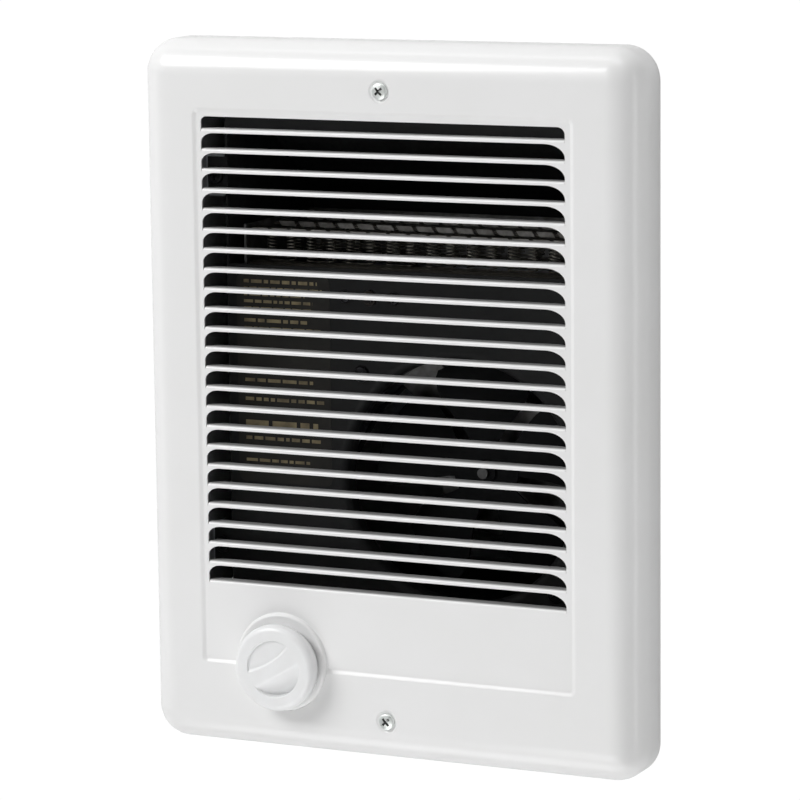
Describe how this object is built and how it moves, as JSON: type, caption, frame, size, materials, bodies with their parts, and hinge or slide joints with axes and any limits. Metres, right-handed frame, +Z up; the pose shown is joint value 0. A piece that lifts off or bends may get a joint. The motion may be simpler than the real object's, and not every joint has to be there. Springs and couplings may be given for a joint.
{
  "type": "fan convector heater",
  "caption": "Recessed wall fan heater: white louvred steel cover with a thermostat knob over a wall can that holds the element, fan and motor.",
  "frame": {"origin": "centre of the cover's outline on the finished wall's face, where the wall opening is", "axes": "+X to the right as seen from the room, +Y into the wall, +Z up; the cover faces -Y"},
  "size_m": [0.2286, 0.1275, 0.3048],
  "materials": {
    "white_powder_coat": "gloss powder coat",
    "white_plastic": "satin moulded",
    "galvanised_steel": "spangled zinc",
    "zinc_screw": "bright zinc plate",
    "green_screw": "green zinc plate",
    "black_paint": "semi-gloss high-temperature paint",
    "black_screw": "black oxide",
    "rubber_black": "moulded",
    "label_film": "printed film",
    "aluminised_steel": "mill finish",
    "mica": "laminated mica",
    "clip_steel": "heat-stained",
    "nichrome": "oxidised wire",
    "steatite": "unglazed",
    "phenolic": "moulded phenolic",
    "shaft_steel": "ground",
    "bimetal": "rolled strip",
    "brass": "tin-free brass",
    "button_plastic": "moulded",
    "fan_black": "black coated aluminium",
    "lamination_steel": "varnished stack",
    "bobbin_nylon": "moulded",
    "copper_winding": "enamelled copper wire",
    "cast_zinc": "die cast",
    "bearing_bronze": "sintered bronze",
    "connector_orange": "moulded",
    "lead_black": "insulated wire",
    "lead_white": "insulated wire",
    "lead_green": "insulated wire"
  },
  "bodies": {
    "heater": {"wall_can": "galvanised_steel", "can_left_side": "galvanised_steel", "can_right_side": "galvanised_steel", "can_tabs": "galvanised_steel", "knockout_slugs": "galvanised_steel", "ground_screw": "green_screw", "cover": "white_powder_coat", "cover_screws": "zinc_screw", "chassis": "black_paint", "chassis_screws": "black_screw", "plenum_floor": "black_paint", "floor_grommet": "rubber_black", "air_deflector": "black_paint", "rating_label": "label_film", "element_frame": "aluminised_steel", "element_strips": "mica", "element_clips": "clip_steel", "heating_coils": "nichrome", "element_terminals": "steatite", "thermostat_case": "phenolic", "thermostat_nut": "zinc_screw", "thermostat_bimetal": "bimetal", "thermostat_terminals": "brass", "limit_case": "phenolic", "limit_bracket": "aluminised_steel", "limit_screws": "black_screw", "limit_terminals": "brass", "motor_stator": "lamination_steel", "coil_bobbin": "bobbin_nylon", "coil_winding": "copper_winding", "front_bearing_bracket": "cast_zinc", "rear_bearing_bracket": "cast_zinc", "front_bearing": "bearing_bronze", "rear_bearing": "bearing_bronze", "motor_screws": "zinc_screw", "motor_strap": "aluminised_steel", "strap_screws": "black_screw", "wire_connectors": "connector_orange", "line_lead": "lead_black", "limit_lead": "lead_black", "element_lead": "lead_black", "neutral_lead": "lead_white", "motor_leads": "lead_black", "ground_lead": "lead_green"},
    "control": {"knob": "white_plastic", "thermostat_shaft": "shaft_steel"},
    "rotor": {"fan_blades": "fan_black", "fan_hub": "fan_black", "fan_set_screw": "black_screw", "motor_shaft": "shaft_steel", "motor_rotor": "lamination_steel"},
    "reset": {"reset_button": "button_plastic"}
  },
  "joints": [
    {"name": "knob_turn", "type": "hinge", "parent": "heater", "child": "control", "pos_m": [-0.0485, 0, -0.1135], "axis": [0, 1, 0], "range_deg": [0, 270]},
    {"name": "fan_spin", "type": "hinge", "parent": "heater", "child": "rotor", "pos_m": [0.0205, 0.035, -0.0355], "axis": [0, 1, 0], "continuous": true},
    {"name": "reset_press", "type": "slide", "parent": "heater", "child": "reset", "axis": [0, 1, 0], "range_m": [0, 0.0015], "stiffness_N_per_m": 400, "springref_m": -0.001}
  ]
}
